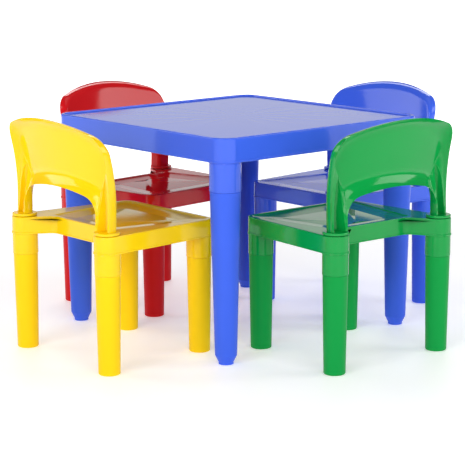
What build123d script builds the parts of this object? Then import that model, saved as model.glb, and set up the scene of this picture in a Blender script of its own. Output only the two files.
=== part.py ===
from build123d import *
import math
import os

# Kids table with four arch-backed chairs, moulded in plastic. Millimetres, +Z up.
# The origin is on the floor at the middle of the whole group's footprint.
# Every chair is drawn once in its own frame: X to the sitter's right, Y forward, and the
# origin on the floor midway between the two rear legs. It is then turned to face the table.

# ---------------------------------------------------------------- table
TABLE_SIDE = 530.0
TABLE_HEIGHT = 434.0
APRON_DEPTH = 47.0
TABLE_WALL = 3.2
TABLE_EDGE = 2.8
TOP_SKIN = 3.5
RIM_WIDTH = 7.0
RIM_HEIGHT = 3.0
TABLE_LEG_REACH = 231.2
TABLE_BARREL_RADIUS = 30.0
TABLE_BARREL_WALL = 3.2
TABLE_BARREL_BOTTOM = 331.0
TABLE_CORNER_RADIUS = TABLE_SIDE / 2 - TABLE_LEG_REACH
TABLE_LEG_TOP_RADIUS = 29.2
TABLE_LEG_LOW_RADIUS = 21.2
TABLE_FOOT_RADIUS = 14.6
TABLE_FOOT_STEP = 4.0
TABLE_FOOT_CHAMFER_TOP = 18.0
TABLE_SPIGOT_TOP = 378.0
TOP_RIB_DEPTH = 12.0
TOP_RIB_THICKNESS = 2.4
TOP_RIB_PLACES = (-120.0, 0.0, 120.0)

# ---------------------------------------------------------------- chair
REAR_LEG_X = 134.5
FRONT_LEG_X = 115.5
FRONT_LEG_Y = 231.5
SEAT_TOP = 262.0
SEAT_APRON_BOTTOM = 229.0
SEAT_WALL = 3.0
SEAT_RIM_WIDTH = 7.0
SEAT_RIM_HEIGHT = 2.0
BARREL_RADIUS = 25.0
BARREL_WALL = 3.0
BARREL_BOTTOM = 188.0
BARREL_STEP = 0.5
OVERLAP = 1.0
SEAT_EDGE = 2.5
REAR_APRON_Y = 36.0
REAR_APRON_BLEND = 18.0
REAR_APRON_SLANT = 60.0
BEAD_HEIGHT = 2.4
BEAD_PROUD = 0.9
CHAIR_LEG_TOP_RADIUS = 23.6
CHAIR_LEG_LOW_RADIUS = 20.6
CHAIR_LEG_EDGE = 2.5
CHAIR_SPIGOT_TOP = 226.0
LEG_WALL = 2.6
FIT_GAP = 0.3

# backrest, with its collars standing on the rear barrels
COLLAR_RADIUS = 24.0
COLLAR_HEIGHT = 5.0
COLLAR_BOTTOM = SEAT_TOP + 1.0
BACK_PLUG_RADIUS = 16.0
BACK_PLUG_BOTTOM = 238.0
BACK_TOP = 467.2
BACK_HALF_WIDTH = 147.5
BACK_TOP_ARC = 408.0
BACK_CORNER = 39.0
ARCH_TOP = 338.5
ARCH_HALF_WIDTH = 116.0
ARCH_TOP_ARC = 380.0
ARCH_CORNER = 42.0
BACK_SKIN = 3.0
# the back is bowed in plan, and leans forward a touch and then well back as it rises
BACK_REAR_Y = -24.0
BACK_PLAN_RADIUS = 650.0
BACK_DEPTH_LOW = 23.0
BACK_DEPTH_HIGH = 16.0
LEAN_SLOPE = -20.7
LEAN_CURVE = 46.4
BACK_SECTIONS = 7
BACK_BLANK_HALF = 160.0
CUT_REACH = 90.0

# ---------------------------------------------------------------- the group
# Each chair's place: the point between its rear legs, from the table's middle, and the
# direction that the sitter faces, in degrees from +X. They stand a little askew, as put
# down by hand.
CHAIRS = {
    "yellow": (-437.5, -7.0, -0.6),
    "green": (8.0, -420.5, 88.4),
    "blue": (414.5, 0.0, 180.7),
    "red": (-2.0, 400.0, 275.6),
}
CORNERS = {
    "front_left": (-1, 1),
    "front_right": (1, 1),
    "rear_left": (-1, -1),
    "rear_right": (1, -1),
}


def rounded_plate(side, corner, bottom, top):
    """A square plate with round corners, between two heights."""
    plate = extrude(RectangleRounded(side, side, corner), top - bottom)
    return Pos(0, 0, bottom) * plate


def tube(radius, bore, bottom, top):
    """An upright round tube."""
    return Pos(0, 0, bottom) * extrude(Circle(radius) - Circle(bore), top - bottom)


def disc(radius, bottom, top):
    """An upright round bar."""
    return Pos(0, 0, bottom) * extrude(Circle(radius), top - bottom)


def lathe(points):
    """A solid turned about Z from (radius, height) points that start and end on the axis."""
    return revolve(Plane.XZ * make_face(Polyline(*points, close=True)), Axis.Z)


def table_top():
    """Shallow tray with an apron, a raised rim, ribs and four leg barrels."""
    low = TABLE_HEIGHT - APRON_DEPTH
    inner_side = TABLE_SIDE - 2 * TABLE_WALL
    under_skin = TABLE_HEIGHT - RIM_HEIGHT - TOP_SKIN
    tray = rounded_plate(TABLE_SIDE, TABLE_CORNER_RADIUS, low, TABLE_HEIGHT)
    tray = fillet(tray.faces().sort_by(Axis.Z)[-1].edges(), TABLE_EDGE)
    tray -= rounded_plate(inner_side, TABLE_CORNER_RADIUS - TABLE_WALL, low, under_skin)
    recess_side = TABLE_SIDE - 2 * RIM_WIDTH
    recess_bottom = TABLE_HEIGHT - RIM_HEIGHT
    recess_corner = TABLE_CORNER_RADIUS - RIM_WIDTH
    tray -= rounded_plate(recess_side, recess_corner, recess_bottom, TABLE_HEIGHT + 1)
    rib_height = TOP_RIB_DEPTH + 1
    rib_middle = under_skin + 1 - rib_height / 2
    for place in TOP_RIB_PLACES:
        tray += Pos(place, 0, rib_middle) * Box(TOP_RIB_THICKNESS, inner_side + 1, rib_height)
        tray += Pos(0, place, rib_middle) * Box(inner_side + 1, TOP_RIB_THICKNESS, rib_height)
    bore = TABLE_BARREL_RADIUS - TABLE_BARREL_WALL
    for x, y in CORNERS.values():
        spot = Pos(x * TABLE_LEG_REACH, y * TABLE_LEG_REACH, 0)
        tray += spot * tube(TABLE_BARREL_RADIUS, bore, TABLE_BARREL_BOTTOM, under_skin + 1)
        bead = TABLE_BARREL_RADIUS + BEAD_PROUD
        tray += spot * tube(bead, bore, low - BEAD_HEIGHT, low + BEAD_HEIGHT)
    return tray


def table_leg():
    """Hollow tapered leg with a stepped foot and a spigot that plugs into the barrel."""
    spigot = TABLE_BARREL_RADIUS - TABLE_BARREL_WALL - FIT_GAP
    shoulder = TABLE_BARREL_BOTTOM - FIT_GAP
    outside = lathe(
        [
            (0, 0),
            (TABLE_FOOT_RADIUS, 0),
            (TABLE_FOOT_RADIUS, TABLE_FOOT_STEP),
            (TABLE_LEG_LOW_RADIUS, TABLE_FOOT_CHAMFER_TOP),
            (TABLE_LEG_TOP_RADIUS, shoulder),
            (spigot, shoulder),
            (spigot, TABLE_SPIGOT_TOP),
            (0, TABLE_SPIGOT_TOP),
        ]
    )
    hollow = lathe(
        [
            (0, LEG_WALL),
            (TABLE_FOOT_RADIUS - LEG_WALL, LEG_WALL),
            (TABLE_FOOT_RADIUS - LEG_WALL, TABLE_FOOT_STEP + 1),
            (TABLE_LEG_LOW_RADIUS - LEG_WALL, TABLE_FOOT_CHAMFER_TOP + 1),
            (spigot - LEG_WALL, shoulder - LEG_WALL),
            (spigot - LEG_WALL, TABLE_SPIGOT_TOP + 1),
            (0, TABLE_SPIGOT_TOP + 1),
        ]
    )
    return outside - hollow


def arc_points(x, y, reach, start, end):
    """The first, middle and last point of an arc about (x, y), its angles in degrees."""
    points = []
    for angle in (start, (start + end) / 2, end):
        turn = math.radians(angle)
        points.append((x + reach * math.cos(turn), y + reach * math.sin(turn)))
    return points


def seat_outline(grow):
    """Plan of the seat: round barrels, straight sides and a rear wall set well forward."""
    radius = BARREL_RADIUS + grow
    rear = REAR_APRON_Y - grow
    blend = REAR_APRON_BLEND - grow
    slant = math.radians(REAR_APRON_SLANT)
    middle = REAR_LEG_X - (radius + blend + (rear - blend) * math.cos(slant)) / math.sin(slant)
    side = math.degrees(math.atan2(REAR_LEG_X - FRONT_LEG_X, FRONT_LEG_Y))
    half = [
        arc_points(middle, rear - blend, blend, 90, 90 - REAR_APRON_SLANT),
        arc_points(REAR_LEG_X, 0, radius, -90 - REAR_APRON_SLANT, side),
        arc_points(FRONT_LEG_X, FRONT_LEG_Y, radius, side, 90),
    ]
    mirrored = [[(-x, y) for x, y in reversed(points)] for points in reversed(half)]
    arcs = half + mirrored
    edges = []
    for points, following in zip(arcs, arcs[1:] + arcs[:1]):
        edges += ThreePointArc(*points).edges()
        edges += Line(points[-1], following[0]).edges()
    return make_face(edges)


def seat():
    """Hollow seat shell with an apron, a dished top, four leg barrels and two sockets."""
    under_skin = SEAT_TOP - SEAT_RIM_HEIGHT - SEAT_WALL
    low = SEAT_APRON_BOTTOM
    shell = Pos(0, 0, low) * extrude(seat_outline(0), SEAT_TOP - low)
    shell = fillet(shell.faces().sort_by(Axis.Z)[-1].edges(), SEAT_EDGE)
    shell += Pos(0, 0, low) * extrude(seat_outline(BEAD_PROUD), BEAD_HEIGHT)
    shell -= Pos(0, 0, low - 1) * extrude(seat_outline(-SEAT_WALL), under_skin - low + 1)
    recess_spots = [
        (REAR_LEG_X - BARREL_RADIUS, REAR_APRON_Y + BARREL_RADIUS),
        (FRONT_LEG_X, FRONT_LEG_Y),
        (-FRONT_LEG_X, FRONT_LEG_Y),
        (-REAR_LEG_X + BARREL_RADIUS, REAR_APRON_Y + BARREL_RADIUS),
    ]
    recess_radius = BARREL_RADIUS - SEAT_RIM_WIDTH
    rounds = Sketch() + [Pos(x, y) * Circle(recess_radius) for x, y in recess_spots]
    recess = make_hull(rounds.edges())
    shell -= Pos(0, 0, SEAT_TOP - SEAT_RIM_HEIGHT) * extrude(recess, SEAT_RIM_HEIGHT + 1)
    bore = BARREL_RADIUS - BARREL_WALL - BARREL_STEP
    socket = BACK_PLUG_RADIUS + FIT_GAP
    for name, (x, y) in leg_spots().items():
        spot = Pos(x, y, 0)
        shell += spot * tube(BARREL_RADIUS - BARREL_STEP, bore, BARREL_BOTTOM, under_skin + 1)
        if name.startswith("rear"):
            shell += spot * tube(socket + BARREL_WALL, socket, BACK_PLUG_BOTTOM, under_skin + 1)
            shell += spot * disc(BARREL_RADIUS - SEAT_WALL, under_skin, SEAT_TOP)
            shell -= spot * disc(socket, BACK_PLUG_BOTTOM - 1, SEAT_TOP + 1)
    return shell


def leg_spots():
    """Leg name to its place in the chair's own frame."""
    spots = {}
    for name, (side, front) in CORNERS.items():
        if front > 0:
            spots[name] = (side * FRONT_LEG_X, FRONT_LEG_Y)
        else:
            spots[name] = (side * REAR_LEG_X, 0)
    return spots


def chair_leg():
    """Hollow tapered leg with a spigot that plugs into the seat's barrel."""
    spigot = BARREL_RADIUS - BARREL_STEP - BARREL_WALL - FIT_GAP
    shoulder = BARREL_BOTTOM - FIT_GAP
    outside = lathe(
        [
            (0, 0),
            (CHAIR_LEG_LOW_RADIUS - CHAIR_LEG_EDGE, 0),
            (CHAIR_LEG_LOW_RADIUS, CHAIR_LEG_EDGE),
            (CHAIR_LEG_TOP_RADIUS, shoulder),
            (spigot, shoulder),
            (spigot, CHAIR_SPIGOT_TOP),
            (0, CHAIR_SPIGOT_TOP),
        ]
    )
    hollow = lathe(
        [
            (0, LEG_WALL),
            (CHAIR_LEG_LOW_RADIUS - LEG_WALL - 1, LEG_WALL),
            (spigot - LEG_WALL, shoulder - LEG_WALL),
            (spigot - LEG_WALL, CHAIR_SPIGOT_TOP + 1),
            (0, CHAIR_SPIGOT_TOP + 1),
        ]
    )
    return outside - hollow


def arched_panel(half_width, top, bottom, arc, corner):
    """An upright slab whose face is a rectangle with an arched top and round corners."""
    drop = arc - math.sqrt(arc**2 - half_width**2)
    edge = top - drop
    outline = Polyline((half_width, edge), (half_width, bottom), (-half_width, bottom), (-half_width, edge))
    crown = ThreePointArc((-half_width, edge), (0, top), (half_width, edge))
    face = make_face([*outline.edges(), *crown.edges()])
    face = fillet([v for v in face.vertices() if abs(v.Y - edge) < 0.5], corner)
    slab = extrude(face, 2 * CUT_REACH)
    return Pos(0, CUT_REACH, 0) * Rot(90, 0, 0) * slab


def bowed_slab(front_inset, rear_reach, bottom, top):
    """A full-width slab bowed in plan, that leans back more and more towards its top."""
    base = COLLAR_BOTTOM + COLLAR_HEIGHT
    rise = BACK_TOP - base
    half = BACK_BLANK_HALF
    bow = BACK_PLAN_RADIUS - math.sqrt(BACK_PLAN_RADIUS**2 - half**2)
    sections = []
    for step in range(BACK_SECTIONS):
        height = bottom + (top - bottom) * step / (BACK_SECTIONS - 1)
        part = (height - base) / rise
        middle = BACK_REAR_Y - LEAN_SLOPE * part - LEAN_CURVE * part**2
        rear = middle - rear_reach
        front = middle + BACK_DEPTH_LOW + (BACK_DEPTH_HIGH - BACK_DEPTH_LOW) * part - front_inset
        rear_line = ThreePointArc((-half, rear + bow), (0, rear), (half, rear + bow))
        front_line = ThreePointArc((half, front + bow), (0, front), (-half, front + bow))
        right = Line((half, rear + bow), (half, front + bow))
        left = Line((-half, front + bow), (-half, rear + bow))
        face = make_face([*rear_line.edges(), *right.edges(), *front_line.edges(), *left.edges()])
        sections.append(Pos(0, 0, height) * face)
    return loft(sections)


def backrest():
    """Bowed back, a thin skin open behind, on two channel posts with collars and plugs."""
    low = COLLAR_BOTTOM + COLLAR_HEIGHT
    high = BACK_TOP + OVERLAP
    body = bowed_slab(0, 0, low, high)
    body = body & arched_panel(BACK_HALF_WIDTH, BACK_TOP, low - 5, BACK_TOP_ARC, BACK_CORNER)
    body -= arched_panel(ARCH_HALF_WIDTH, ARCH_TOP, low - 6, ARCH_TOP_ARC, ARCH_CORNER)
    cavity = bowed_slab(BACK_SKIN, 30, low + BACK_SKIN, high)
    cavity = cavity & arched_panel(
        BACK_HALF_WIDTH - BACK_SKIN,
        BACK_TOP - BACK_SKIN,
        low - 7,
        BACK_TOP_ARC - BACK_SKIN,
        BACK_CORNER - BACK_SKIN,
    )
    cavity -= arched_panel(
        ARCH_HALF_WIDTH + BACK_SKIN,
        ARCH_TOP + BACK_SKIN,
        low - 8,
        ARCH_TOP_ARC + BACK_SKIN,
        ARCH_CORNER + BACK_SKIN,
    )
    body -= cavity
    for side in (-1, 1):
        spot = Pos(side * REAR_LEG_X, 0, 0)
        body += spot * disc(COLLAR_RADIUS, COLLAR_BOTTOM, low)
        plug = BACK_PLUG_RADIUS
        body += spot * tube(plug, plug - LEG_WALL, BACK_PLUG_BOTTOM + 2, COLLAR_BOTTOM + 1)
    return body


def save(node, shape):
    """Write one sub-part to its own STEP file."""
    shape.label = node
    export_step(shape, os.path.join("parts", node + ".step"))


def chair_place(colour):
    """Turn and move a chair from its own frame to its place round the table's middle."""
    x, y, facing = CHAIRS[colour]
    return Pos(x, y, 0) * Rot(0, 0, facing - 90)


def main():
    """Build every sub-part, move the group's middle to the origin and write it out."""
    os.makedirs("parts", exist_ok=True)
    shapes = {"table_top": table_top()}
    leg = table_leg()
    for name, (x, y) in CORNERS.items():
        shapes["table_leg_" + name] = Pos(x * TABLE_LEG_REACH, y * TABLE_LEG_REACH, 0) * leg
    seat_shell = seat()
    back_shell = backrest()
    short_leg = chair_leg()
    for colour in CHAIRS:
        place = chair_place(colour)
        shapes[colour + "_seat"] = place * seat_shell
        shapes[colour + "_backrest"] = place * back_shell
        for name, (x, y) in leg_spots().items():
            shapes[colour + "_leg_" + name] = place * Pos(x, y, 0) * short_leg
    boxes = [shapes[colour + "_backrest"].bounding_box() for colour in CHAIRS]
    middle_x = (min(box.min.X for box in boxes) + max(box.max.X for box in boxes)) / 2
    middle_y = (min(box.min.Y for box in boxes) + max(box.max.Y for box in boxes)) / 2
    print("middle of the group", round(middle_x, 4), round(middle_y, 4))
    for node, shape in shapes.items():
        save(node, Pos(-middle_x, -middle_y, 0) * shape)


main()
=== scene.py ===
import math

import bmesh
import bpy
from bpy.props import FloatProperty, FloatVectorProperty, IntProperty, PointerProperty
from bpy.types import Operator, Panel, PropertyGroup
from mathutils import Matrix, Vector


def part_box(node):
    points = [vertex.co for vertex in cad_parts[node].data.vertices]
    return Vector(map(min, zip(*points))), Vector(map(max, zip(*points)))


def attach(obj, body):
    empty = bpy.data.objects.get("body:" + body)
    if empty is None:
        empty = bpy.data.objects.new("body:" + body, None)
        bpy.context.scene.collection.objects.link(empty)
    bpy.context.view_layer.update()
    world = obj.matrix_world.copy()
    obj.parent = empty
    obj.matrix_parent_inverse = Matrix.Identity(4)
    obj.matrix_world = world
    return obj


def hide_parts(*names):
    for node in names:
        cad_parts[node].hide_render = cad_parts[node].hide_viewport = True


bl_info = {
    "name": "Nursery Table Set",
    "version": (1, 0, 0),
    "blender": (4, 5, 0),
    "location": "View3D > Sidebar > Nursery",
    "description": "Moulded play table with four plug-together chairs",
    "category": "Add Mesh",
}

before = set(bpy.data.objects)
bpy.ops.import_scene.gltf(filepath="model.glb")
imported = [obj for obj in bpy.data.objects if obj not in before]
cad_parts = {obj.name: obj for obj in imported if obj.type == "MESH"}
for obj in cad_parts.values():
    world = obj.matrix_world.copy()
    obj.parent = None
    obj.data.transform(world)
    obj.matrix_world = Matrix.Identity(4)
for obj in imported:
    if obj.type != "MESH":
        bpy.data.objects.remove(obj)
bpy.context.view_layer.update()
MM = 0.001
TAU = 2 * math.pi
COLOURS = ("yellow", "green", "blue", "red")
LEG_NAMES = ("front_left", "front_right", "rear_left", "rear_right")
TABLE_LOW, TABLE_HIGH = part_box("table_top")
SEAT_LOW, SEAT_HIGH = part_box("yellow_seat")
BACK_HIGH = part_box("yellow_backrest")[1]
TABLE_MIDDLE = (TABLE_LOW + TABLE_HIGH) / 2

NEAR_AXIS = 0.5 * MM
BEAD = 0.9 * MM
PLUG_GAP = 0.3 * MM
TABLE_PANEL = 3.5 * MM
RIM_DRAFT = 0.7 * MM
RIB_DEPTH = 12 * MM
RIB_PLACES = (-0.120, 0.0, 0.120)
RIB_TIP_HALF = 0.9 * MM
RIB_ROOT_HALF = 1.4 * MM
FOOT_STEP = 4 * MM
FOOT_TOP = 17.5 * MM

SEAT_PANEL = 5 * MM
SEAT_WALL = 3 * MM
BARREL_WALL = 3.5 * MM
BARREL_STEP = 0.5 * MM
REAR_WALL = 36 * MM
REAR_BLEND = 18 * MM
REAR_SLANT = math.radians(60)
SEAT_STEPS = 12
DISH_REACH = 17 * MM
DISH_INSET = 8 * MM
DISH_LIP = 2.1 * MM
# Each loop of the dish's rolled edge: its share of the full plan, and its drop in millimetres.
DISH_EDGE = ((1.0, 0.1), (0.992, 0.5), (0.982, 1.3), (0.972, 1.8), (0.955, 2.1))
DISH_FLOOR = (0.9, 0.82, 0.72, 0.62, 0.5, 0.38, 0.26, 0.14, 0.05)

SKIN = 3.0 * MM
BACK_FOOT = 268 * MM
BACK_ROWS = 72
COLLAR_RADIUS = 24 * MM
COLLAR_HEIGHT = 6 * MM
# Depth of the turned-back edge, the rounding of its corner, and how far in it fades out.
POST_LIP, SIDE_LIP, CROWN_LIP, ARCH_LIP = 19.5 * MM, 15.5 * MM, 13.0 * MM, 15.0 * MM
POST_ROUND, CROWN_ROUND, ARCH_ROUND = 8.0 * MM, 11.0 * MM, 16.0 * MM
POST_ROLL, SIDE_ROLL, CROWN_ROLL = 24.0 * MM, 32.0 * MM, 18.0 * MM
# The channel behind each post runs up to PEAK; both lists place points across the band.
PEAK = 0.446
CHANNEL = (0, 0.3, 0.55, 0.75, 0.88, 0.95, 0.985, 1.0)
BORDER = (0.035, 0.1, 0.2, 0.33, 0.47, 0.6, 0.72, 0.82, 0.89, 0.94, 0.97, 0.99, 1.0)

# Grain of the two surfaces: scale and height of its pebbles, height of the flow marks.
POLISHED = {"pebble": 420.0, "pebble_height": 0.10, "flow": 0.9, "bump": 0.16, "specular": 0.34}
SATIN = {"pebble": 1100.0, "pebble_height": 0.55, "flow": 0.4, "bump": 0.22, "specular": 0.16}

# Soft boxes: name, place, height they point at, width, height and watts.
SOFT_BOXES = (
    ("left_box", (-4.2, -1.2, 2.0), 0.3, 2.4, 1.8, 80),
    ("right_box", (-1.0, -4.4, 1.8), 0.3, 2.4, 1.8, 60),
    ("front_box", (-2.8, -3.2, 3.2), 0.3, 3.0, 2.0, 40),
    ("top_box", (0.2, 0.3, 3.2), 0.2, 2.4, 2.4, 12),
    ("back_box", (2.6, 3.0, 3.6), 0.3, 4.0, 1.0, 60),
    ("far_screen", (4.6, 5.2, 1.7), 0.9, 8.0, 2.6, 42),
    ("red_card", (3.4, -3.4, 2.0), 0.4, 2.6, 2.2, 75),
    ("blue_card", (-3.2, 4.2, 2.0), 0.4, 2.6, 2.2, 60),
)
CAMERA_PLACE = Vector((TABLE_MIDDLE.x - 2.2436, TABLE_MIDDLE.y - 2.5600, 0.8553))
CAMERA_YAW, CAMERA_PITCH, CAMERA_ROLL = 0.7169, 0.1934, -0.0036


# ---------------------------------------------------------------- settings


def length(name, description, default, low=0.0):
    """A length in metres that the panel shows in the scene's own unit."""
    return FloatProperty(
        name=name,
        description=description,
        default=default,
        min=low,
        unit="LENGTH",
        subtype="DISTANCE",
    )


def share(name, description, default):
    """A number from 0 to 1."""
    return FloatProperty(
        name=name, description=description, default=default, min=0, max=1, subtype="FACTOR"
    )


def colour(name, description, default):
    """A plastic's colour, linear."""
    return FloatVectorProperty(
        name=name,
        description=description,
        default=default,
        size=3,
        min=0,
        max=1,
        subtype="COLOR",
    )


class NurseryTableSettings(PropertyGroup):
    """Sizes of the table that a user would change."""

    apron: length("Apron", "Depth of the wall round the top", 0.047)
    wall: length("Wall", "Thickness of the moulded wall", 0.0032)
    rim_width: length("Rim width", "Width of the raised rim", 0.0075)
    rim_height: length("Rim height", "How far the rim stands above the panel", 0.0032)
    barrel: length("Barrel radius", "Outer radius of the leg sockets", 0.030)
    foot: length("Foot radius", "Radius of the narrow foot", 0.0146)
    leg_low: length("Leg radius, low", "Radius of the leg above its foot", 0.0212)
    leg_top: length("Leg radius, top", "Radius of the leg under its socket", 0.0290)


class NurseryChairSettings(PropertyGroup):
    """Sizes of a chair that a user would change."""

    apron_low: length("Apron foot", "Height of the lower edge of the seat's wall", 0.229)
    barrel: length("Barrel radius", "Radius of the seat's corner barrels", 0.025)
    leg_low: length("Leg radius, low", "Radius of the leg at the floor", 0.0206)
    leg_top: length("Leg radius, top", "Radius of the leg under its socket", 0.0236)
    dish: length("Dish", "How far the seat dips in the middle", 0.0075)
    back_half: length("Back half width", "Half the width of the backrest", 0.1495)
    arch_half: length("Opening half width", "Half the width of the arched opening", 0.116)
    arch_top: length("Opening top", "Height of the top of the opening", 0.3385)
    lean: length("Lean", "How far the backrest curves back at its top", 0.0464)
    back_bow: length("Back bow", "Radius of the backrest's bow in plan", 0.650)


class NurseryFinishSettings(PropertyGroup):
    """Colours and gloss of the plastics, and the light."""

    yellow: colour("Yellow", "Yellow plastic", (0.95, 0.62, 0.003))
    green: colour("Green", "Green plastic", (0.001, 0.30, 0.052))
    blue: colour("Blue", "Blue plastic", (0.045, 0.120, 0.74))
    red: colour("Red", "Red plastic", (0.60, 0.006, 0.010))
    gloss: share("Gloss roughness", "Roughness of the polished mouldings", 0.10)
    satin: share("Satin roughness", "Roughness of the legs", 0.36)
    # Strength of the painted highlight: convex edges are paled towards white where light would
    # catch them.
    wear: share("Edge wear", "How much paler the rubbed edges are", 0.22)
    focal: FloatProperty(
        name="Lens", description="Focal length of the camera, mm", default=130.28, min=1
    )
    segments: IntProperty(
        name="Segments", description="Facets round a barrel or leg", default=72, min=16
    )


# ---------------------------------------------------------------- shader maths


class Wire:
    """A socket that Python arithmetic can use: every operation adds a Math node."""

    def __init__(self, graph, socket):
        self.graph = graph
        self.socket = socket

    def maths(self, operation, *others):
        """Another Math node, with this value first."""
        values = dict(enumerate((self, *others)))
        return self.graph.node("ShaderNodeMath", {"operation": operation}, values)

    def swapped(self, operation, other):
        """A Math node with the other value first."""
        return self.graph.node("ShaderNodeMath", {"operation": operation}, {0: other, 1: self})

    def __add__(self, other):
        return self.maths("ADD", other)

    def __sub__(self, other):
        return self.maths("SUBTRACT", other)

    def __mul__(self, other):
        return self.maths("MULTIPLY", other)

    def __pow__(self, other):
        return self.maths("POWER", other)

    def __rsub__(self, other):
        return self.swapped("SUBTRACT", other)

    __radd__ = __add__
    __rmul__ = __mul__


class Graph:
    """The node tree of one material."""

    def __init__(self, name):
        self.material = bpy.data.materials.new(name)
        self.material.use_nodes = True
        self.tree = self.material.node_tree
        self.tree.nodes.clear()

    def node(self, kind, settings=None, sockets=None, output=0):
        """Any node: its settings first, then its sockets' values or links."""
        made = self.tree.nodes.new(kind)
        for key, value in (settings or {}).items():
            setattr(made, key, value)
        for key, value in (sockets or {}).items():
            if isinstance(value, Wire):
                self.tree.links.new(value.socket, made.inputs[key])
            else:
                made.inputs[key].default_value = value
        return Wire(self, made.outputs[output])

    def noise(self, where, scale, detail=2.0, roughness=0.5):
        """Soft random mottling between 0 and 1."""
        values = {"Vector": where, "Scale": scale, "Detail": detail, "Roughness": roughness}
        return self.node("ShaderNodeTexNoise", {}, values)

    def band(self, value, low, high):
        """0 below low, 1 above high, smooth between."""
        sockets = {"Value": value, "From Min": low, "From Max": high}
        return self.node("ShaderNodeMapRange", {"interpolation_type": "SMOOTHSTEP"}, sockets)

    def blend(self, factor, first, second):
        """A mix of two colours."""
        settings = {"data_type": "RGBA"}
        return self.node("ShaderNodeMix", settings, {"Factor": factor, 6: first, 7: second}, 2)

    def finish(self, shader):
        """Join the surface to the output."""
        output = self.tree.nodes.new("ShaderNodeOutputMaterial")
        self.tree.links.new(shader.socket, output.inputs["Surface"])
        return self.material


def tone(rgb, factor):
    """A lighter or darker shade of a colour, with alpha."""
    return (*[min(1.0, c * factor) for c in rgb], 1.0)


def paled(rgb, amount):
    """A colour moved part of the way to white, for the painted highlight on convex edges."""
    return (*[c + (1 - c) * amount for c in rgb], 1.0)


def plastic(name, rgb, roughness, polished, star=None):
    """Moulded plastic: faint flow mottling, uneven gloss, fine skin texture and a painted
    highlight that pales and roughens the convex edges.
    """
    finish = bpy.context.scene.nursery_finish
    skin = POLISHED if polished else SATIN
    g = Graph(name)
    where = g.node("ShaderNodeTexCoord", {}, {}, "Object")
    flow = g.noise(where, 7.0, 3.0)
    cloud = g.noise(where, 38.0, 2.0)
    pebble = g.noise(where, skin["pebble"], 2.0)
    scuff = g.band(g.noise(where, 95.0, 5.0, 0.7), 0.62, 0.74)
    # Painted highlight: convex edges found by pointiness are paled towards white as if they
    # caught the light; the same mask also roughens them.
    point = g.node("ShaderNodeNewGeometry", {}, {}, "Pointiness")
    highlit = g.band(point, 0.53, 0.60) * (0.5 + 0.5 * cloud)
    base = g.blend(flow, tone(rgb, 0.95), tone(rgb, 1.05))
    base = g.blend(highlit * finish.wear, base, paled(rgb, 0.45))
    rough = roughness + 0.05 * (cloud - 0.5) + 0.05 * scuff + 0.10 * highlit
    height = pebble * skin["pebble_height"] + flow * skin["flow"]
    if star is not None:
        height = height + star(g, where)
    relief = {"Height": height, "Strength": skin["bump"], "Distance": 0.6 * MM}
    surface = g.node(
        "ShaderNodeBsdfPrincipled",
        {},
        {
            "Base Color": base,
            "Roughness": rough,
            "Normal": g.node("ShaderNodeBump", {}, relief),
            "IOR": 1.46,
            "Specular IOR Level": skin["specular"],
        },
    )
    return g.finish(surface)


def radial_sinks(g, where):
    """Very shallow rays spreading from the middle of the panel, where the ribs draw it down."""
    moved = g.node("ShaderNodeVectorMath", {"operation": "SUBTRACT"}, {0: where, 1: TABLE_MIDDLE})
    split = g.tree.nodes.new("ShaderNodeSeparateXYZ")
    g.tree.links.new(moved.socket, split.inputs[0])
    x = Wire(g, split.outputs[0])
    y = Wire(g, split.outputs[1])
    angle = y.maths("ARCTAN2", x)
    ray = (angle * 8.0).maths("COSINE").maths("ABSOLUTE") ** 6.0
    reach = (x * x + y * y).maths("SQRT")
    inside = g.band(reach, 0.02, 0.12) * (1.0 - g.band(reach, 0.16, 0.27))
    return ray * inside * 0.9


# ---------------------------------------------------------------- mesh helpers


def smooth(low, high, value):
    """0 at low, 1 at high, with soft ends."""
    part = min(1.0, max(0.0, (value - low) / (high - low)))
    return part * part * (3 - 2 * part)


def mix(first, second, part):
    """Part of the way from first to second."""
    return first + (second - first) * part


def rounded(points, steps=5):
    """Turn (a, b, radius) corners into a line of (a, b) points with arcs at the corners."""
    line = []
    for index, (a, b, radius) in enumerate(points):
        here = Vector((a, b))
        if radius <= 0 or index in (0, len(points) - 1):
            line.append(here)
            continue
        before = Vector(points[index - 1][:2]) - here
        after = Vector(points[index + 1][:2]) - here
        half = before.angle(after) / 2
        cut = min(radius / math.tan(half), before.length * 0.49, after.length * 0.49)
        start = here + before.normalized() * cut
        end = here + after.normalized() * cut
        real = cut * math.tan(half)
        inward = (before.normalized() + after.normalized()).normalized()
        centre = here + inward * (real / math.sin(half))
        first = start - centre
        sweep = first.angle_signed(end - centre)
        for step in range(steps + 1):
            turn = Matrix.Rotation(-sweep * step / steps, 2)
            line.append(centre + turn @ first)
    return line


def bridge(bm, low, high):
    """Quads between two rings of the same length."""
    count = len(low)
    for i in range(count):
        j = (i + 1) % count
        bm.faces.new((low[i], low[j], high[j], high[i]))


def stack(bm, loops):
    """Quads between loops of the same length, with a fan over each end."""
    rings = [[bm.verts.new(p) for p in loop] for loop in loops]
    for low, high in zip(rings, rings[1:]):
        bridge(bm, low, high)
    for ring, flip in ((rings[0], True), (rings[-1], False)):
        middle = bm.verts.new(sum((v.co for v in ring), Vector()) / len(ring))
        for i, vert in enumerate(ring):
            other = ring[(i + 1) % len(ring)]
            bm.faces.new((other, vert, middle) if flip else (vert, other, middle))


def circle(spot, radius, height):
    """Points round a turned shape at one height."""
    count = bpy.context.scene.nursery_finish.segments
    loop = []
    for i in range(count):
        angle = TAU * i / count
        x = spot[0] + radius * math.cos(angle)
        y = spot[1] + radius * math.sin(angle)
        loop.append(Vector((x, y, height)))
    return loop


def lathe(bm, spot, profile):
    """A closed turned solid from a (radius, height) line that starts and ends near the axis."""
    stack(bm, [circle(spot, radius, height) for radius, height in profile])


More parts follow.
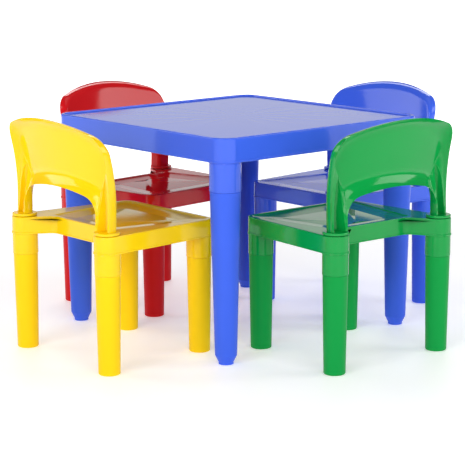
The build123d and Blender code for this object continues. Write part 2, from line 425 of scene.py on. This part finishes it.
def sleeve(bm, spot, profile):
    """A turned ring: the (radius, height) line is closed on itself."""
    rings = []
    for radius, height in profile:
        rings.append([bm.verts.new(p) for p in circle(spot, radius, height)])
    for low, high in zip(rings, rings[1:] + rings[:1]):
        bridge(bm, low, high)


def finished(bm, name, place, material, body, nodes):
    """Make the object, smooth it, give it its plastic, tie it to its body and hide the nodes it
    replaces.
    """
    bmesh.ops.recalc_face_normals(bm, faces=bm.faces)
    bm.transform(place)
    mesh = bpy.data.meshes.new(name)
    bm.to_mesh(mesh)
    bm.free()
    mesh.polygons.foreach_set("use_smooth", [True] * len(mesh.polygons))
    piece = bpy.data.objects.new(name, mesh)
    bpy.context.scene.collection.objects.link(piece)
    mesh.materials.append(material)
    weighted = piece.modifiers.new("Even shading", "WEIGHTED_NORMAL")
    weighted.weight = 60
    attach(piece, body)
    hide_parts(*nodes)
    return piece


def material_for(colour_name, polished, star=None):
    """The plastic of one colour and finish, made once."""
    name = colour_name + ("_gloss" if polished else "_satin") + ("_panel" if star else "")
    if name in bpy.data.materials:
        return bpy.data.materials[name]
    finish = bpy.context.scene.nursery_finish
    rough = finish.gloss if polished else finish.satin
    return plastic(name, tuple(getattr(finish, colour_name)), rough, polished, star)


def node_centre(node):
    """The middle of a node's footprint."""
    low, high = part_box(node)
    return Vector(((low.x + high.x) / 2, (low.y + high.y) / 2, 0))


def chair_frame(colour_name):
    """Where a chair stands: X to the sitter's right, Y forward, origin between the rear legs."""
    left = node_centre(colour_name + "_leg_rear_left")
    right = node_centre(colour_name + "_leg_rear_right")
    across = (right - left).normalized()
    ahead = Vector((-across.y, across.x, 0))
    turn = Matrix((across, ahead, Vector((0, 0, 1)))).transposed().to_4x4()
    return Matrix.Translation((left + right) / 2) @ turn


def chair_leg_spots():
    """Each leg's place in the chair's own frame."""
    inverse = chair_frame("yellow").inverted()
    return {name: inverse @ node_centre("yellow_leg_" + name) for name in LEG_NAMES}


# ---------------------------------------------------------------- table


def rounded_square(half, radius, height, steps=14):
    """Plan of the table at one height."""
    loop = []
    for corner in range(4):
        start = TAU / 4 * corner
        side = start + TAU / 8
        centre = Vector((math.cos(side), math.sin(side))) * math.sqrt(2) * (half - radius)
        for step in range(steps + 1):
            angle = start + TAU / 4 * step / steps
            x = centre.x + radius * math.cos(angle)
            y = centre.y + radius * math.sin(angle)
            loop.append(Vector((TABLE_MIDDLE.x + x, TABLE_MIDDLE.y + y, height)))
    return loop


def make_table_top():
    """Tray with a raised rim, a drafted apron, ribs underneath and four leg barrels."""
    size = bpy.context.scene.nursery_table
    bm = bmesh.new()
    half = (TABLE_HIGH.x - TABLE_LOW.x) / 2
    leg = node_centre("table_leg_front_right")
    corner = half - (leg.x - TABLE_MIDDLE.x)
    top = TABLE_HIGH.z
    low = top - size.apron
    panel = top - size.rim_height
    under = panel - TABLE_PANEL
    section = [
        (half * 0.6, under, 0),
        (size.wall + 1.2 * MM, under, 2 * MM),
        (size.wall, low, 0.7 * MM),
        (0, low, 0.9 * MM),
        (0, low + 2.6 * MM, 0.5 * MM),
        (RIM_DRAFT, low + 3.6 * MM, 0.7 * MM),
        (RIM_DRAFT, top, 3.6 * MM),
        (size.rim_width, top, 1.4 * MM),
        (size.rim_width + 1.0 * MM, panel, 1.2 * MM),
        (size.rim_width + 8 * MM, panel, 0),
        (half * 0.5, panel, 0),
    ]
    loops = []
    for inset, height in rounded(section):
        radius = max(corner - inset, 6 * MM + (half - inset) * 0.02)
        loops.append(rounded_square(half - inset, radius, height))
    stack(bm, loops)
    barrel = size.barrel
    bore = barrel - size.wall
    bottom = TABLE_LOW.z
    for name in LEG_NAMES:
        spot = node_centre("table_leg_" + name)
        profile = [
            (bore, bottom + 1 * MM, 0.4 * MM),
            (bore, bottom, 0.4 * MM),
            (barrel, bottom, 0.8 * MM),
            (barrel, low - 2.6 * MM, 0.6 * MM),
            (barrel + BEAD, low - 2.0 * MM, 0.5 * MM),
            (barrel + BEAD, low + 2.0 * MM, 0.5 * MM),
            (barrel, under + 1 * MM, 0),
            (bore, under + 1 * MM, 0),
            (bore, bottom + 1 * MM, 0),
        ]
        sleeve(bm, spot, rounded(profile, 4)[:-1])
    add_ribs(bm, half - size.wall, under)
    material = material_for("blue", True, radial_sinks)
    finished(bm, "play_table_top", Matrix(), material, "table", ["table_top"])


def add_ribs(bm, reach, under):
    """Drafted stiffening ribs in a grid under the panel."""
    levels = ((under - RIB_DEPTH, RIB_TIP_HALF), (under + 1 * MM, RIB_ROOT_HALF))
    sides = ((0, 1, 3, 2), (4, 5, 7, 6), (0, 1, 5, 4), (2, 3, 7, 6), (0, 2, 6, 4), (1, 3, 7, 5))
    for across in (False, True):
        for place in RIB_PLACES:
            corners = []
            for height, half in levels:
                for along in (-reach, reach):
                    for side in (-half, half):
                        x, y = (place + side, along) if across else (along, place + side)
                        point = (TABLE_MIDDLE.x + x, TABLE_MIDDLE.y + y, height)
                        corners.append(bm.verts.new(point))
            for quad in sides:
                bm.faces.new([corners[i] for i in quad])


def make_table_legs():
    """Tapered legs with a narrow stepped foot and a plug inside the socket."""
    size = bpy.context.scene.nursery_table
    material = material_for("blue", False)
    shoulder = TABLE_LOW.z - PLUG_GAP
    plug = size.barrel - size.wall - PLUG_GAP
    for name in LEG_NAMES:
        node = "table_leg_" + name
        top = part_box(node)[1].z
        profile = [
            (NEAR_AXIS, 0, 0),
            (size.foot, 0, 1.2 * MM),
            (size.foot, FOOT_STEP, 0.8 * MM),
            (size.leg_low, FOOT_TOP, 2.5 * MM),
            (size.leg_top, shoulder, 0.7 * MM),
            (plug, shoulder, 0.2 * MM),
            (plug, top, 1 * MM),
            (NEAR_AXIS, top, 0),
        ]
        bm = bmesh.new()
        lathe(bm, node_centre(node), rounded(profile))
        finished(
            bm, "blue_" + node, Matrix(), material, "table", [node]
        )


# ---------------------------------------------------------------- chairs


def finished_moulding(bm, colour_name, part, node):
    """Finish a polished moulding that was made in the chair's own frame."""
    finished(
        bm,
        f"{colour_name}_{part}_shell",
        chair_frame(colour_name),
        material_for(colour_name, True),
        colour_name + "_chair",
        [f"{colour_name}_{node}"],
    )


def seat_loop(spots, grow, height, radius):
    """Plan of the seat: round barrels, straight sides and a rear wall set well forward."""
    rear = spots["rear_right"]
    front = spots["front_right"]
    reach = radius + grow
    wall = REAR_WALL - grow
    blend = REAR_BLEND - grow
    run = reach + blend + (wall - blend) * math.cos(REAR_SLANT)
    middle = rear.x - run / math.sin(REAR_SLANT)
    side = math.atan2(rear.x - front.x, front.y - rear.y)
    loop = []
    for x, y, size, start, end in (
        (middle, wall - blend, blend, TAU / 4, TAU / 4 - REAR_SLANT),
        (rear.x, rear.y, reach, -TAU / 4 - REAR_SLANT, side),
        (front.x, front.y, reach, side, TAU / 4),
    ):
        for step in range(SEAT_STEPS + 1):
            angle = mix(start, end, step / SEAT_STEPS)
            loop.append(Vector((x + size * math.cos(angle), y + size * math.sin(angle), height)))
    mirrored = [Vector((-p.x, p.y, p.z)) for p in reversed(loop)]
    return loop + mirrored


def dish_rays(outer, centre, bend):
    """Directions from the dish's centre to a loop, turned evenly round the rear barrels."""
    half = [point.to_2d() for point in outer[: len(outer) // 2]]
    lengths = [0.0]
    for here, following in zip(half, half[1:]):
        lengths.append(lengths[-1] + (following - here).length)
    angles = [math.atan2(point.y - centre.y, point.x) for point in half]
    start = math.atan2(half[0].y + DISH_INSET - centre.y, half[0].x + 14 * MM)
    rays = []
    for i, angle in enumerate(angles):
        if i < bend:
            angle = mix(start, angles[bend], lengths[i] / lengths[bend])
        rays.append(Vector((math.cos(angle), math.sin(angle))))
    return rays + [Vector((-ray.x, ray.y)) for ray in reversed(rays)]


def dish_loop(spots, centre, rays, factor, height):
    """A loop inside the seat's top: a soft-cornered plan that clears the rear barrels."""
    rear = spots["rear_right"]
    front = spots["front_right"]
    side = Vector((front.y, rear.x - front.x)).normalized()
    limits = (
        (side, Vector((rear.x + DISH_REACH, 0))),
        (Vector((0, 1)), Vector((0, front.y + DISH_REACH))),
        (Vector((0, -1)), Vector((0, REAR_WALL + DISH_INSET))),
        (Vector((0.80, -0.60)), Vector((rear.x - 26 * MM, REAR_WALL + 2 * MM))),
    )
    power = mix(2.4, 16, factor**2)
    loop = []
    for ray in rays:
        towards = Vector((abs(ray.x), ray.y))
        total = 0.0
        for normal, anchor in limits:
            total += max(0.0, normal.dot(towards) / normal.dot(anchor - centre)) ** power
        flat = centre + ray * (total ** (-1 / power) * factor)
        loop.append(Vector((flat.x, flat.y, height)))
    return loop


def make_seats():
    """Glossy dished seats with a rolled rim, a deep apron and four barrels."""
    size = bpy.context.scene.nursery_chair
    spots = chair_leg_spots()
    top = SEAT_HIGH.z
    bottom = SEAT_LOW.z
    low = size.apron_low
    under = top - SEAT_PANEL
    radius = size.barrel
    section = [
        (-SEAT_WALL - 0.6 * MM, under, 0),
        (-SEAT_WALL, low, 0.5 * MM),
        (BEAD, low, 0.6 * MM),
        (BEAD, low + 2.4 * MM, 0.5 * MM),
        (0, low + 3.1 * MM, 0.5 * MM),
        (-0.3 * MM, top, 3.0 * MM),
        (-4.5 * MM, top, 0),
        (-7.0 * MM, top, 0),
    ]
    loops = [seat_loop(spots, grow, height, radius) for grow, height in rounded(section)]
    centre = Vector((0, spots["front_right"].y / 2 + 16 * MM))
    rays = dish_rays(loops[-1], centre, 2 * SEAT_STEPS + 1)
    for factor, drop in DISH_EDGE:
        loops.append(dish_loop(spots, centre, rays, factor, top - drop * MM))
    for factor in DISH_FLOOR:
        depth = DISH_LIP + (size.dish - DISH_LIP) * (1 - factor**2)
        loops.append(dish_loop(spots, centre, rays, factor, top - depth))
    bore = radius - BARREL_WALL
    barrel = radius - BARREL_STEP
    profile = [
        (bore, bottom + 1 * MM, 0),
        (bore, bottom, 0.4 * MM),
        (barrel, bottom, 0.7 * MM),
        (barrel, low - 1.6 * MM, 0.4 * MM),
        (radius + BEAD, low - 1.0 * MM, 0.4 * MM),
        (radius + BEAD, low + 1.0 * MM, 0),
        (barrel - 1 * MM, low + 3 * MM, 0),
        (barrel - 1 * MM, under - 1 * MM, 0),
        (bore, under - 1 * MM, 0),
    ]
    for colour_name in COLOURS:
        bm = bmesh.new()
        stack(bm, loops)
        for spot in spots.values():
            sleeve(bm, spot, rounded(profile, 4))
        finished_moulding(bm, colour_name, "seat", "seat")


def make_chair_legs():
    """Tapered satin legs with a rounded foot and a plug inside the seat's barrel."""
    size = bpy.context.scene.nursery_chair
    shoulder = SEAT_LOW.z - PLUG_GAP
    plug = size.barrel - BARREL_WALL - PLUG_GAP
    for colour_name in COLOURS:
        for name in LEG_NAMES:
            node = colour_name + "_leg_" + name
            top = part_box(node)[1].z
            profile = [
                (NEAR_AXIS, 0, 0),
                (size.leg_low, 0, 2.6 * MM),
                (size.leg_top, shoulder, 0.6 * MM),
                (plug, shoulder, 0.2 * MM),
                (plug, top, 0.8 * MM),
                (NEAR_AXIS, top, 0),
            ]
            bm = bmesh.new()
            lathe(bm, node_centre(node), rounded(profile))
            material = material_for(colour_name, False)
            body = colour_name + "_chair"
            finished(bm, node + "_tube", Matrix(), material, body, [node])


class ArchLine:
    """Half of an arch: up a straight side, round a corner, then along a shallow crown."""

    foot = 0.14
    bend = 0.62
    knee_rise = 0.0158

    def __init__(self, half, top, crown, corner, base, side_share):
        self.half, self.top, self.crown, self.corner, self.base = half, top, crown, corner, base
        self.level = top - crown + math.sqrt((crown - corner) ** 2 - (half - corner) ** 2)
        self.lean = math.asin((half - corner) / (crown - corner))
        self.side_share = side_share

    def point(self, s):
        """The point at s, from 0 at the foot to 1 at the middle of the crown."""
        foot, bend = self.foot, self.bend
        knee = self.base + self.knee_rise
        side_end = foot + (bend - foot) * self.side_share
        if s <= foot:
            return Vector((-self.half, self.base + (knee - self.base) * s / foot))
        if s < side_end:
            height = knee + (self.level - knee) * (s - foot) / (side_end - foot)
            return Vector((-self.half, height))
        if s <= bend:
            part = (s - side_end) / (bend - side_end)
            angle = math.pi - part * (math.pi / 2 - self.lean)
            x = -(self.half - self.corner) + self.corner * math.cos(angle)
            return Vector((x, self.level + self.corner * math.sin(angle)))
        part = (s - bend) / (1 - bend)
        angle = math.pi / 2 + self.lean * (1 - part)
        x = self.crown * math.cos(angle)
        return Vector((x, self.top - self.crown + self.crown * math.sin(angle)))


def band_samples(s):
    """Positions across the band at s, from its outer edge to its inner edge."""
    half_channel = 0.36 * max(0.0, 1 - (s / PEAK) ** 2.2)
    half_channel = max(half_channel, 0.012)
    right = [0.5 + half_channel * x for x in CHANNEL]
    right += [0.5 + half_channel + (0.5 - half_channel) * x for x in BORDER]
    return [1 - t for t in reversed(right[1:])] + right, half_channel


def back_surfaces(s, t, half_channel, outer, inner, size):
    """Front and rear points of the moulded back, at s along the band and t across it."""
    first, last = outer.point(s), inner.point(s)
    flat = first.lerp(last, t)
    width = (last - first).length
    from_outer = t * width
    from_inner = (1 - t) * width
    up = smooth(0.10, 0.50, s)
    over = smooth(0.50, 0.75, s)
    outer_lip = mix(mix(POST_LIP, SIDE_LIP, up), CROWN_LIP, over)
    inner_lip = mix(POST_LIP, ARCH_LIP, up)
    outer_round = mix(POST_ROUND, CROWN_ROUND, over)
    inner_round = mix(POST_ROUND, ARCH_ROUND, up)
    inner_roll = mix(POST_ROLL, SIDE_ROLL, up)
    outer_roll = mix(inner_roll, CROWN_ROLL, over)
    rise = 0.0
    drop = 0.0
    for away, lip, edge, roll in (
        (from_outer, outer_lip, outer_round, outer_roll),
        (from_inner, inner_lip, inner_round, inner_roll),
    ):
        rise = max(rise, lip * max(0.0, 1 - away / roll) ** 2)
        bend = max(0.0, 1 - away / edge)
        drop = max(drop, (SKIN + lip) * (1 - math.sqrt(max(0.0, 1 - bend * bend))))
    part = min(1.0, s / PEAK)
    ridge = POST_LIP * (1 - part**2.4)
    offset = min(1.0, abs(t - 0.5) / half_channel)
    trough = ridge * (1 - math.sqrt(max(0.0, 1 - offset * offset)))
    rise = max(rise * (1 - smooth(1.0, 0.8, offset) * (part < 1)), trough)
    part = (flat.y - BACK_FOOT) / (outer.top - BACK_FOOT)
    bow = flat.x**2 / (2 * size.back_bow)
    front = (-1.0 + 13.7 * part) * MM - size.lean * part**2 + bow
    rear = front - SKIN - rise
    return front - drop, min(rear, front - drop - 0.02 * MM), flat


def back_grids(bm, outer, inner, size):
    """Rows of points over the front and the rear of the back, from one foot to the other."""
    stations = [i / BACK_ROWS for i in range(BACK_ROWS + 1)]
    lines = [(s, 1) for s in stations] + [(s, -1) for s in reversed(stations[:-1])]
    front_grid, rear_grid = [], []
    for s, side in lines:
        samples, half_channel = band_samples(s)
        front_row, rear_row = [], []
        for t in samples:
            front, rear, flat = back_surfaces(s, t, half_channel, outer, inner, size)
            front_row.append(bm.verts.new((side * flat.x, front, flat.y)))
            rear_row.append(bm.verts.new((side * flat.x, rear, flat.y)))
        front_grid.append(front_row)
        rear_grid.append(rear_row)
    return front_grid, rear_grid


def join_grids(bm, front_grid, rear_grid):
    """Faces over both grids, and the walls that join them along all four edges."""
    for grid in (front_grid, rear_grid):
        for low, high in zip(grid, grid[1:]):
            for i in range(len(low) - 1):
                bm.faces.new((low[i], low[i + 1], high[i + 1], high[i]))
    for edge in (0, -1):
        front_line = [row[edge] for row in front_grid]
        rear_line = [row[edge] for row in rear_grid]
        for front, rear in ((front_line, rear_line), (front_grid[edge], rear_grid[edge])):
            for i in range(len(front) - 1):
                bm.faces.new((front[i], front[i + 1], rear[i + 1], rear[i]))


def make_backrests():
    """Thin moulded backs, rolled at every edge, on channel posts with round collars."""
    size = bpy.context.scene.nursery_chair
    collar_low = SEAT_HIGH.z + 1 * MM
    collar_top = SEAT_HIGH.z + COLLAR_HEIGHT
    base = collar_top - 1 * MM
    outer = ArchLine(size.back_half, BACK_HIGH.z, 0.408, 0.039, base, 0.6375)
    inner = ArchLine(size.arch_half, size.arch_top, 0.380, 0.042, base, 0.0)
    spots = chair_leg_spots()
    collar = [
        (NEAR_AXIS, collar_low, 0),
        (COLLAR_RADIUS, collar_low, 0.8 * MM),
        (COLLAR_RADIUS, collar_top, 1.4 * MM),
        (NEAR_AXIS, collar_top, 0),
    ]
    for colour_name in COLOURS:
        bm = bmesh.new()
        join_grids(bm, *back_grids(bm, outer, inner, size))
        for name in ("rear_left", "rear_right"):
            lathe(bm, spots[name], rounded(collar))
        finished_moulding(bm, colour_name, "back", "backrest")


# ---------------------------------------------------------------- stage


def area_light(name, place, target_height, width, height, power):
    """A soft box that points at a place over the middle of the set."""
    lamp = bpy.data.lights.new(name, "AREA")
    lamp.shape = "RECTANGLE"
    lamp.size = width
    lamp.size_y = height
    lamp.energy = power
    piece = bpy.data.objects.new(name, lamp)
    piece.location = place
    towards = Vector((0, 0, target_height)) - Vector(place)
    piece.rotation_euler = towards.to_track_quat("-Z", "Y").to_euler()
    piece.visible_camera = False
    bpy.context.scene.collection.objects.link(piece)


def make_floor():
    """A pale studio floor that fades into the light around it."""
    bm = bmesh.new()
    bmesh.ops.create_grid(bm, x_segments=24, y_segments=24, size=14.0)
    mesh = bpy.data.meshes.new("studio_floor")
    bm.to_mesh(mesh)
    bm.free()
    floor = bpy.data.objects.new("studio_floor", mesh)
    floor.location.z = -0.2 * MM
    bpy.context.scene.collection.objects.link(floor)
    g = Graph("pale_floor")
    where = g.node("ShaderNodeTexCoord", {}, {}, "Object")
    mottle = g.noise(where, 3.0, 2.0)
    away = g.node("ShaderNodeVectorMath", {"operation": "LENGTH"}, {0: where}, "Value")
    glow = g.blend(g.band(away, 0.9, 3.2), (0.32, 0.32, 0.32, 1), (1.0, 1.0, 1.0, 1))
    base = g.blend(mottle, (0.93, 0.93, 0.935, 1), (0.96, 0.96, 0.96, 1))
    values = {
        "Base Color": base,
        "Roughness": 0.42 + 0.06 * mottle,
        "Specular IOR Level": 0.25,
        "Emission Color": glow,
        "Emission Strength": 1.0,
    }
    mesh.materials.append(g.finish(g.node("ShaderNodeBsdfPrincipled", {}, values)))


def make_camera():
    """The camera, low at the near corner of the table."""
    level = math.cos(CAMERA_PITCH)
    right = Vector((math.cos(CAMERA_YAW), -math.sin(CAMERA_YAW), 0))
    ahead = Vector((-right.y * level, right.x * level, -math.sin(CAMERA_PITCH)))
    up = right.cross(ahead)
    tilted_right = right * math.cos(CAMERA_ROLL) + up * math.sin(CAMERA_ROLL)
    tilted_up = up * math.cos(CAMERA_ROLL) - right * math.sin(CAMERA_ROLL)
    turn = Matrix((tilted_right, tilted_up, -ahead)).transposed().to_4x4()
    lens = bpy.data.cameras.new("camera")
    lens.sensor_width = 36.0
    lens.lens = bpy.context.scene.nursery_finish.focal
    lens.clip_end = 60.0
    camera = bpy.data.objects.new("camera", lens)
    camera.matrix_world = Matrix.Translation(CAMERA_PLACE) @ turn
    bpy.context.scene.collection.objects.link(camera)
    bpy.context.scene.camera = camera


def make_stage():
    """Pale floor, white surround, soft boxes and the camera."""
    scene = bpy.context.scene
    world = bpy.data.worlds.new("white_studio")
    world.use_nodes = True
    back = world.node_tree.nodes["Background"]
    back.inputs["Color"].default_value = (1.0, 1.0, 1.0, 1)
    back.inputs["Strength"].default_value = 0.15
    scene.world = world
    scene.view_settings.view_transform = "Standard"
    make_floor()
    for soft_box in SOFT_BOXES:
        area_light(*soft_box)
    make_camera()


# ---------------------------------------------------------------- operators and panel


class NURSERY_OT_table_top(Operator):
    """Build the table's moulded top"""

    bl_idname = "nursery.table_top"
    bl_label = "Table top"

    def execute(self, context):
        make_table_top()
        return {"FINISHED"}


class NURSERY_OT_table_legs(Operator):
    """Build the four table legs"""

    bl_idname = "nursery.table_legs"
    bl_label = "Table legs"

    def execute(self, context):
        make_table_legs()
        return {"FINISHED"}


class NURSERY_OT_seats(Operator):
    """Build the four seats"""

    bl_idname = "nursery.seats"
    bl_label = "Seats"

    def execute(self, context):
        make_seats()
        return {"FINISHED"}


class NURSERY_OT_chair_legs(Operator):
    """Build the sixteen chair legs"""

    bl_idname = "nursery.chair_legs"
    bl_label = "Chair legs"

    def execute(self, context):
        make_chair_legs()
        return {"FINISHED"}


class NURSERY_OT_backrests(Operator):
    """Build the four backrests"""

    bl_idname = "nursery.backrests"
    bl_label = "Backrests"

    def execute(self, context):
        make_backrests()
        return {"FINISHED"}


class NURSERY_OT_stage(Operator):
    """Set up the floor, the lights and the camera"""

    bl_idname = "nursery.stage"
    bl_label = "Stage"

    def execute(self, context):
        make_stage()
        return {"FINISHED"}


OPERATORS = (
    NURSERY_OT_table_top,
    NURSERY_OT_table_legs,
    NURSERY_OT_seats,
    NURSERY_OT_chair_legs,
    NURSERY_OT_backrests,
    NURSERY_OT_stage,
)


class NURSERY_PT_panel(Panel):
    """Sizes, colours and build steps of the set"""

    bl_label = "Nursery Table Set"
    bl_space_type = "VIEW_3D"
    bl_region_type = "UI"
    bl_category = "Nursery"

    def draw(self, context):
        layout = self.layout
        for name in SETTINGS:
            group = getattr(context.scene, name)
            column = layout.box().column(align=True)
            for key in group.__annotations__:
                column.prop(group, key)
        for operator in OPERATORS:
            layout.operator(operator.bl_idname)


SETTINGS = {
    "nursery_table": NurseryTableSettings,
    "nursery_chair": NurseryChairSettings,
    "nursery_finish": NurseryFinishSettings,
}


def register():
    """Register the settings, the operators and the panel."""
    for name, group in SETTINGS.items():
        bpy.utils.register_class(group)
        setattr(bpy.types.Scene, name, PointerProperty(type=group))
    for item in (*OPERATORS, NURSERY_PT_panel):
        bpy.utils.register_class(item)


def unregister():
    """Remove everything that register added."""
    for item in (NURSERY_PT_panel, *reversed(OPERATORS)):
        bpy.utils.unregister_class(item)
    for name, group in SETTINGS.items():
        delattr(bpy.types.Scene, name)
        bpy.utils.unregister_class(group)


def main():
    register()
    bpy.ops.nursery.table_top()
    bpy.ops.nursery.table_legs()
    bpy.ops.nursery.seats()
    bpy.ops.nursery.chair_legs()
    bpy.ops.nursery.backrests()
    bpy.ops.nursery.stage()


if __name__ == "__main__":
    main()
